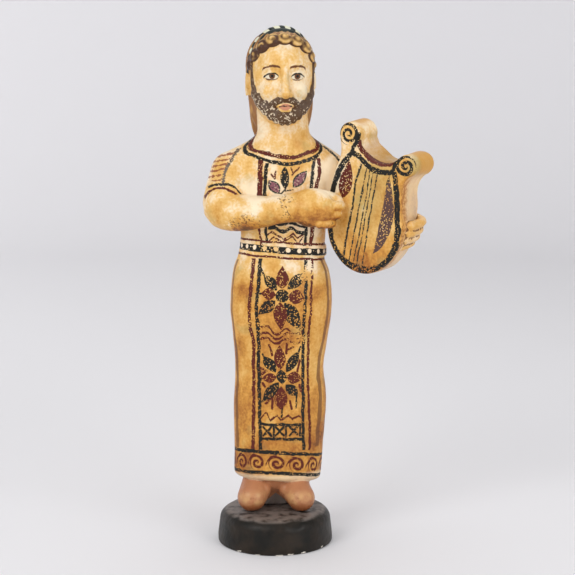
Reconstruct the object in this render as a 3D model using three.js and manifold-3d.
// A hand-painted plaster statuette: a bearded man in a long belted robe stands on a round base,
// holds a lyre in his left arm and plucks it with his right hand.
// Millimetres, +Z up. The origin is the centre of the base's underside, and the figure faces -Y.
import * as THREE from "three";
import { mergeVertices } from "three/addons/utils/BufferGeometryUtils.js";
import Module from "manifold-3d";

// Driving dimensions
const BASE_RADIUS = 33.7;
const BASE_HEIGHT = 19.5;
const SEAM = 0.3; // between the base and the soles
const HEM_HEIGHT = 37.5;
const WAIST_HEIGHT = 174.4;
const BELT_DIP = 4.5; // degrees, down towards the lyre
const HEM_DIP = 2.5;
const SHOULDER_HEIGHT = 217;
const CHIN_HEIGHT = 245.5;
const CROWN_HEIGHT = 299.4;
const SIDE = 3.6; // how far the waist and the head stand off the base's centre, towards +X
const LYRE_THICKNESS = 18.5;
const LYRE_CENTRE = new THREE.Vector3(47.1, -28, 195.6); // on the lyre's front face
const LYRE_TURN = -37; // degrees, so that the face looks towards the right hand
const LYRE_LEAN = 16.6; // degrees, the horns away from the head

// Facets
const BODY_SIDES = 28;
const LIMB_SIDES = 10;
const FINGER_SIDES = 6;

const PAINTED_PLASTER = new THREE.MeshStandardMaterial({ color: 0xd9ae66, roughness: 0.4, metalness: 0 });
const BLACK_PAINT = new THREE.MeshStandardMaterial({ color: 0x2b2622, roughness: 0.4, metalness: 0 });

const wasm = await Module();
wasm.setup();

const at = (x, y, z) => new THREE.Vector3(x, y, z);
const degrees = THREE.MathUtils.degToRad;
const turned = (x, y, z) => new THREE.Euler(degrees(x), degrees(y), degrees(z));

// A closed three.js geometry as a solid that can be joined and cut
function solid(geometry) {
  geometry.deleteAttribute("normal");
  geometry.deleteAttribute("uv");
  const merged = mergeVertices(geometry, 1e-4);
  return new wasm.Manifold(
    new wasm.Mesh({
      numProp: 3,
      vertProperties: merged.getAttribute("position").array,
      triVerts: new Uint32Array(merged.index.array),
    }),
  );
}

function geometryOf(manifold) {
  const { vertProperties, triVerts } = manifold.getMesh();
  const geometry = new THREE.BufferGeometry();
  geometry.setAttribute("position", new THREE.BufferAttribute(new Float32Array(vertProperties), 3));
  geometry.setIndex(new THREE.BufferAttribute(new Uint32Array(triVerts), 1));
  geometry.computeVertexNormals();
  return geometry;
}

const join = (solids) => solids.reduce((sum, piece) => sum.add(piece));

// The same solid without the pockets that its pieces close off between them
const filled = (manifold) => join(manifold.decompose().filter((shell) => shell.volume() > 0));

// A closed drum whose points are moved by place(share of its height, angle, 1 or 0 at the middle of an end).
function drum(sides, rings, place) {
  const geometry = new THREE.CylinderGeometry(1, 1, 1, sides, rings);
  const position = geometry.getAttribute("position");
  for (let i = 0; i < position.count; i++) {
    const point = new THREE.Vector3().fromBufferAttribute(position, i);
    const out = Math.hypot(point.x, point.z) < 0.5 ? 0 : 1;
    position.setXYZ(i, ...place(point.y + 0.5, Math.atan2(point.x, point.z), out));
  }
  return geometry;
}

// Level oval sections at stations, each [height, centre x, centre y, half width, half depth, squareness]
function stack(stations, sides) {
  const gaps = stations.length - 1;
  return drum(sides, gaps, (share, angle, out) => {
    const [z, x, y, halfWidth, halfDepth, squareness = 0] = stations[Math.round(share * gaps)];
    const reach = out * (1 + squareness * Math.sin(2 * angle) ** 2);
    return [x + reach * halfWidth * Math.sin(angle), y - reach * halfDepth * Math.cos(angle), z];
  });
}

// A round limb through stations, each [x, y, z, radius]
function limb(stations, sides = LIMB_SIDES, ringsEach = 2) {
  const path = new THREE.CatmullRomCurve3(stations.map(([x, y, z]) => at(x, y, z)));
  const radii = new THREE.CatmullRomCurve3(stations.map(([, , , radius]) => at(radius, 0, 0)));
  const rings = (stations.length - 1) * ringsEach;
  const { normals, binormals } = path.computeFrenetFrames(rings);
  return drum(sides, rings, (share, angle, out) => {
    const ring = Math.round(share * rings);
    const reach = out * radii.getPoint(path.getUtoTmapping(share)).x;
    const point = path.getPointAt(share);
    point.addScaledVector(normals[ring], reach * Math.cos(angle));
    point.addScaledVector(binormals[ring], reach * Math.sin(angle));
    return point.toArray();
  });
}

function ball(centre, size, turn = new THREE.Euler(), sides = 8, rows = 5) {
  const place = new THREE.Matrix4();
  place.compose(centre, new THREE.Quaternion().setFromEuler(turn), size);
  return new THREE.SphereGeometry(1, sides, rows).applyMatrix4(place);
}

function finger(from, to, radius) {
  const along = to.clone().sub(from);
  const place = new THREE.Matrix4();
  place.compose(
    from.clone().lerp(to, 0.5),
    new THREE.Quaternion().setFromUnitVectors(at(0, 1, 0), along.clone().normalize()),
    at(1, 1, 1),
  );
  return new THREE.CapsuleGeometry(radius, along.length(), 2, FINGER_SIDES).applyMatrix4(place);
}

// The round base, sharp below and soft round its upper rim
function base() {
  const profile = new THREE.Path();
  profile.moveTo(0, 0);
  profile.lineTo(BASE_RADIUS - 1, 0);
  profile.quadraticCurveTo(BASE_RADIUS, 0.4, BASE_RADIUS, 3);
  profile.lineTo(BASE_RADIUS - 0.5, BASE_HEIGHT - 6.5);
  profile.quadraticCurveTo(BASE_RADIUS - 1.2, BASE_HEIGHT - 0.6, BASE_RADIUS - 5, BASE_HEIGHT);
  profile.lineTo(0, BASE_HEIGHT);
  return new THREE.LatheGeometry(profile.getPoints(2), 34).rotateX(Math.PI / 2);
}

// The belt and the hem dip towards the lyre.
function dipped(geometry) {
  const position = geometry.getAttribute("position");
  const reach = 14;
  for (let i = 0; i < position.count; i++) {
    const height = position.getZ(i);
    const near = (level) => Math.exp(-(((height - level) / reach) ** 2));
    const dip = BELT_DIP * near(WAIST_HEIGHT) + HEM_DIP * near(HEM_HEIGHT);
    position.setZ(i, height - (position.getX(i) - SIDE) * Math.tan(degrees(dip)));
  }
  return geometry;
}

// The robe, with the chest, shoulders and neck above it, as one column of ovals
function robe() {
  const column = stack(
    [
      [HEM_HEIGHT, 1.2, 2.5, 22.8, 10.8, 0.05],
      [HEM_HEIGHT + 1.6, 1.3, 2.5, 24.8, 12.8, 0.06],
      [HEM_HEIGHT + 9, 1.5, 2.5, 25.2, 13.2, 0.06],
      [76, 2.5, 2.5, 26.5, 14, 0.04],
      [103, 2.5, 2.3, 25.4, 14.2, 0.03],
      [119, 3.2, 2, 27.2, 15.2, 0.03],
      [136, 3.9, 1.6, 29.5, 16.4, 0.02],
      [150, 3.9, 1.4, 29.4, 16.4, 0.02],
      [WAIST_HEIGHT - 9, SIDE + 0.4, 1.2, 26.6, 14.4, 0.02],
      [WAIST_HEIGHT - 3.3, SIDE + 0.8, 1, 24.7, 13.5, 0.02],
      [WAIST_HEIGHT - 2.9, SIDE + 1, 1, 25.6, 14.6, 0.03],
      [WAIST_HEIGHT + 2.9, SIDE + 1, 1, 25.6, 14.6, 0.03],
      [WAIST_HEIGHT + 3.3, SIDE + 1, 1, 24.6, 13.4, 0.03],
      [WAIST_HEIGHT + 7, SIDE + 1.4, 1, 24.6, 13.6, 0.03],
      [192, SIDE + 0.6, 1.2, 26.4, 14.6, 0.04],
      [205, SIDE - 0.2, 1.8, 31, 15.4, 0.03],
      [SHOULDER_HEIGHT, SIDE - 0.6, 2.4, 36.6, 15, 0],
      [SHOULDER_HEIGHT + 8, SIDE - 0.2, 2.8, 35.6, 14, 0],
      [SHOULDER_HEIGHT + 12, SIDE, 3, 32, 13.2, 0],
      [SHOULDER_HEIGHT + 17, SIDE + 0.2, 3.2, 23.4, 12.6, 0],
      [SHOULDER_HEIGHT + 22, SIDE, 3, 16.4, 12.2, 0],
      [SHOULDER_HEIGHT + 27, SIDE, 2.4, 14.8, 11.8, 0],
      [SHOULDER_HEIGHT + 38, SIDE, 2, 14.6, 11.8, 0],
    ],
    BODY_SIDES,
  );
  return dipped(column);
}

// The skull and jaw under the hair and beard
function head() {
  const height = CROWN_HEIGHT - CHIN_HEIGHT;
  // each [share of the head's height, centre y, half width, half depth]
  const sections = [
    [0, -9.5, 3, 3],
    [0.04, -7.6, 8.6, 8.6],
    [0.13, -4.6, 13, 13.4],
    [0.26, -2.4, 16, 16.4],
    [0.42, -1, 17.6, 18.2],
    [0.58, -0.2, 18, 19],
    [0.74, 0.6, 17.2, 18.8],
    [0.87, 1.2, 13.8, 15.6],
    [0.95, 1.6, 9, 10.6],
    [0.99, 1.8, 2.4, 3],
  ];
  return stack(
    sections.map(([share, y, width, depth]) => [CHIN_HEIGHT + share * height, SIDE, y, width, depth]),
    20,
  );
}

// Eyes half way up the head and one eye's width apart, the nose's foot and the mouth a third and a fifth of
// the way from chin to hairline, and the ears level with the nose
function face() {
  const height = CROWN_HEIGHT - CHIN_HEIGHT;
  const eyeWidth = 7.4;
  const eyes = CHIN_HEIGHT + 0.5 * height;
  const noseFoot = CHIN_HEIGHT + 0.29 * height;
  const mouth = CHIN_HEIGHT + 0.19 * height;
  const pieces = [
    limb(
      [
        [SIDE, -18, eyes + 4, 1.6],
        [SIDE, -19.6, eyes - 2, 1.9],
        [SIDE, -21, noseFoot + 2.4, 2.8],
      ],
      10,
    ),
    ball(at(SIDE, -20.2, noseFoot + 1.8), at(3.5, 2.9, 2.2)),
    ball(at(SIDE, -16.8, mouth), at(5.6, 2.4, 1.8)),
  ];
  for (const side of [-1, 1]) {
    const ear = at(SIDE + side * 17.6, 1.5, (eyes + noseFoot) / 2 + 1);
    pieces.push(
      ball(at(SIDE + side * eyeWidth, -17, eyes), at(eyeWidth / 2, 2.2, 2.4)),
      ball(ear, at(2.2, 3.6, 6.6), turned(-10, 0, 0)),
    );
  }
  return pieces;
}

// Locks round the jaw from ear to ear, and two for the moustache
function beard() {
  const locks = 9;
  const pieces = [];
  for (let i = 0; i < locks; i++) {
    const share = (2 * i) / (locks - 1) - 1;
    const swing = degrees(72 * share);
    const lock = at(
      SIDE + (12.4 + 2.8 * share ** 2) * Math.sin(swing),
      -3.4 - 12.4 * Math.cos(swing),
      CHIN_HEIGHT + 3.6 + 12.5 * share ** 2,
    );
    pieces.push(ball(lock, at(3.9, 3.6, 4.8), new THREE.Euler(0, 0, swing), 6));
  }
  for (const side of [-1, 1]) {
    const lock = at(SIDE + side * 4, -17, CHIN_HEIGHT + 12.6);
    pieces.push(ball(lock, at(4.2, 2.2, 1.7), turned(0, 18 * side, 0), 6, 4));
  }
  return pieces;
}

// A point on the head's dome, by its angles sideways and back from the brow, in degrees
function onDome(sideways, back, lift) {
  const reach = Math.cos(degrees(sideways));
  return at(
    SIDE + (17 + lift) * Math.sin(degrees(sideways)),
    0.6 - (19.4 + lift) * reach * Math.cos(degrees(back)),
    CHIN_HEIGHT + 31.5 + (21.6 + lift) * reach * Math.sin(degrees(back)),
  );
}

// Curls round the forehead, a band of leaves behind them, and long hair down the nape
function hair() {
  const curls = 9;
  const leaves = 11;
  const pieces = [];
  for (let i = 0; i < curls; i++) {
    const share = (2 * i) / (curls - 1) - 1;
    pieces.push(ball(onDome(82 * share, 46 - 12 * share ** 2, 0), at(3.7, 3.3, 3.7), undefined, 7));
  }
  const band = Array.from({ length: 7 }, (_, i) => onDome(-90 + 30 * i, 74, 0.3));
  pieces.push(limb(band.map((point) => [...point.toArray(), 2.6]), 6, 1));
  for (let i = 0; i < leaves; i++) {
    const share = (2 * i) / (leaves - 1) - 1;
    const leaf = onDome(84 * share, 68 + 12 * (i % 2), 1.2);
    pieces.push(ball(leaf, at(2.2, 1.7, 1.4), turned(0, 84 * share, 0), 5, 3));
  }
  pieces.push(
    stack(
      [
        [SHOULDER_HEIGHT + 17, SIDE, 11, 9, 4],
        [SHOULDER_HEIGHT + 20, SIDE, 10, 13, 6],
        [SHOULDER_HEIGHT + 32, SIDE, 9, 15.4, 8.4],
        [SHOULDER_HEIGHT + 41, SIDE, 7.4, 17, 11.4],
        [SHOULDER_HEIGHT + 52, SIDE, 5.6, 18.6, 14.6],
        [SHOULDER_HEIGHT + 64, SIDE, 3.6, 19, 17.4],
        [SHOULDER_HEIGHT + 74, SIDE, 2.4, 15.6, 16.2],
        [SHOULDER_HEIGHT + 80, SIDE, 2, 8, 9],
      ],
      20,
    ),
  );
  return pieces;
}

function shoulder(side) {
  const centre = at(SIDE - 0.6 + 27 * side, 2.6, SHOULDER_HEIGHT - 0.6);
  return ball(centre, at(12.6, 12, 13.2), undefined, LIMB_SIDES, 8);
}

// The right arm crosses the chest to the lyre and ends in a loose fist.
function rightArm() {
  const pieces = [
    shoulder(-1),
    limb([
      [-24.4, 2.4, SHOULDER_HEIGHT + 1, 12.2],
      [-27.6, 1.6, 206, 12.6],
      [-29.6, -1.6, 198, 11.8],
      [-24, -7.6, 195.8, 10.8],
      [-13, -13.8, 196, 9.5],
      [-2, -18, 198, 8.2],
      [8, -21.4, 199.4, 8.2],
      [17, -24.4, 199.6, 9.4],
    ]),
    ball(at(19.6, -25, 199.2), at(12, 7.8, 11.2), turned(0, 4, -12), LIMB_SIDES, 8),
    finger(at(14, -23.4, 207.6), at(33.6, -20.4, 204.4), 3.4),
  ];
  const fingers = 4;
  for (let i = 0; i < fingers; i++) {
    const knuckle = at(32.4 - 0.9 * i, -26.4, 203.6 - 4.6 * i);
    pieces.push(finger(at(25, -28, knuckle.z + 1), knuckle, 2.5));
    pieces.push(finger(knuckle, knuckle.clone().add(at(1.6, 7, -0.4)), 2.3));
  }
  return pieces;
}

// The lyre's own axes: across its face, up its strings, and out of its face
const lyreFrame = new THREE.Matrix4()
  .makeTranslation(LYRE_CENTRE)
  .multiply(new THREE.Matrix4().makeRotationZ(degrees(LYRE_TURN)))
  .multiply(new THREE.Matrix4().makeRotationY(degrees(LYRE_LEAN)))
  .multiply(new THREE.Matrix4().makeRotationX(Math.PI / 2));
const onLyre = (across, up, out) => at(across, up, out).applyMatrix4(lyreFrame);

// A solid-bodied lyre: a pear-shaped sound box with two horns that end in round scrolls
function lyre() {
  const left = { x: -22.4, y: 40.4, start: degrees(205), end: degrees(-20) };
  const right = { x: 16.4, y: 34.2, start: degrees(158), end: degrees(-60) };
  const scroll = 6.4;
  const rim = ({ x, y }, angle) => [x + scroll * Math.cos(angle), y + scroll * Math.sin(angle)];
  const outline = new THREE.Shape();
  outline.moveTo(4, -33.2);
  outline.bezierCurveTo(-7, -33.2, -17, -25, -21, -14.5);
  outline.bezierCurveTo(-25.4, -2, -26.4, 12, -24.4, 24);
  outline.bezierCurveTo(-24, 29, -26, 33, ...rim(left, left.start));
  outline.absarc(left.x, left.y, scroll, left.start, left.end, true);
  outline.bezierCurveTo(-15.4, 34, -9, 30.6, -1, 30.4);
  outline.bezierCurveTo(5, 30.4, 8.4, 33, ...rim(right, right.start));
  outline.absarc(right.x, right.y, scroll, right.start, right.end, true);
  outline.bezierCurveTo(15.6, 24, 18.2, 17, 21.2, 9);
  outline.bezierCurveTo(24, 2, 26.6, -5, 25, -12.5);
  outline.bezierCurveTo(22.4, -24, 15, -33.2, 4, -33.2);
  const edge = 2.2;
  const geometry = new THREE.ExtrudeGeometry(outline, {
    depth: LYRE_THICKNESS - 2 * edge,
    bevelThickness: edge,
    bevelSize: edge,
    bevelOffset: -edge,
    bevelSegments: 1,
    curveSegments: 5,
  });
  geometry.translate(0, 0, edge - LYRE_THICKNESS);
  fillBack(geometry);
  return geometry.applyMatrix4(lyreFrame);
}

// Towards the back the saddle between the horns is shallower and the far side is fuller.
function fillBack(geometry) {
  const position = geometry.getAttribute("position");
  for (let i = 0; i < position.count; i++) {
    const across = position.getX(i);
    const up = position.getY(i);
    const back = -position.getZ(i) / LYRE_THICKNESS;
    const top = THREE.MathUtils.smoothstep(up, 22, 32);
    const inSaddle = top * Math.exp(-(((across + 5) / 10) ** 2));
    const farSide = THREE.MathUtils.smoothstep(across, 8, 20) * THREE.MathUtils.smoothstep(up, -4, 14);
    position.setX(i, across + back * (2.6 * farSide + 2.4 * inSaddle));
    position.setY(i, up + back * (2 * top + 3 * inSaddle));
  }
}

// The left arm goes down behind the lyre, and its fingers come round the far side wall.
function leftArm() {
  const palm = onLyre(18, -4, -LYRE_THICKNESS - 2);
  const pieces = [
    shoulder(1),
    limb([
      [30.4, 2.4, SHOULDER_HEIGHT + 1, 12],
      [35, 3.6, 206, 11.8],
      [41, 4, 196, 11],
      [50, 1.6, 189.6, 9.8],
      [60, -5, 187, 8.4],
      [...palm.toArray(), 7],
    ]),
    ball(palm, at(9, 6, 10.5), turned(0, LYRE_LEAN, LYRE_TURN), LIMB_SIDES, 8),
  ];
  const fingers = 4;
  for (let i = 0; i < fingers; i++) {
    const up = 4.2 - 4.5 * i;
    const knuckle = onLyre(27.6 - 0.3 * i ** 2, up, -LYRE_THICKNESS + 0.5);
    pieces.push(finger(onLyre(22, up, -LYRE_THICKNESS - 1), knuckle, 2.4));
    pieces.push(finger(knuckle, onLyre(26.4 - 0.35 * i ** 2, up - 2, -7.5), 2.3));
  }
  return pieces;
}

// The heels and ankles are one mass under the hem, and the plump feet splay outwards.
function feet() {
  const middle = -0.4;
  const pieces = [
    stack(
      [
        [BASE_HEIGHT - 2, middle, 6, 14, 7],
        [BASE_HEIGHT + 7, middle + 0.4, 5.6, 16, 7.6],
        [HEM_HEIGHT - 3, 1, 4, 19, 9],
        [HEM_HEIGHT + 3, 1.2, 3, 20, 10],
      ],
      20,
    ),
  ];
  for (const side of [-1, 1]) {
    const instep = at(middle + side * 14, -3.2, BASE_HEIGHT + 6.2);
    const ankle = at(middle + side * 11.4, 1.6, BASE_HEIGHT + 12.4);
    pieces.push(
      ball(instep, at(7.8, 12, 7.8), turned(8, 0, 32 * side), 12, 7),
      ball(ankle, at(9, 9.4, 9.4), undefined, 10, 6),
    );
  }
  return pieces;
}

function figure() {
  const solids = [
    robe(),
    head(),
    ...face(),
    ...beard(),
    ...hair(),
    ...rightArm(),
    lyre(),
    ...leftArm(),
    ...feet(),
  ].map(solid);
  const underSoles = 2 * (BASE_HEIGHT + SEAM);
  const ground = solid(new THREE.BoxGeometry(4 * BASE_RADIUS, 4 * BASE_RADIUS, underSoles));
  return geometryOf(filled(join(solids).subtract(ground)));
}

function piece(name, geometry, material) {
  const mesh = new THREE.Mesh(geometry, material);
  mesh.name = name;
  return mesh;
}

const statuette = new THREE.Group();
statuette.add(piece("figure", figure(), PAINTED_PLASTER));
statuette.add(piece("base", base(), BLACK_PAINT));

export default statuette;
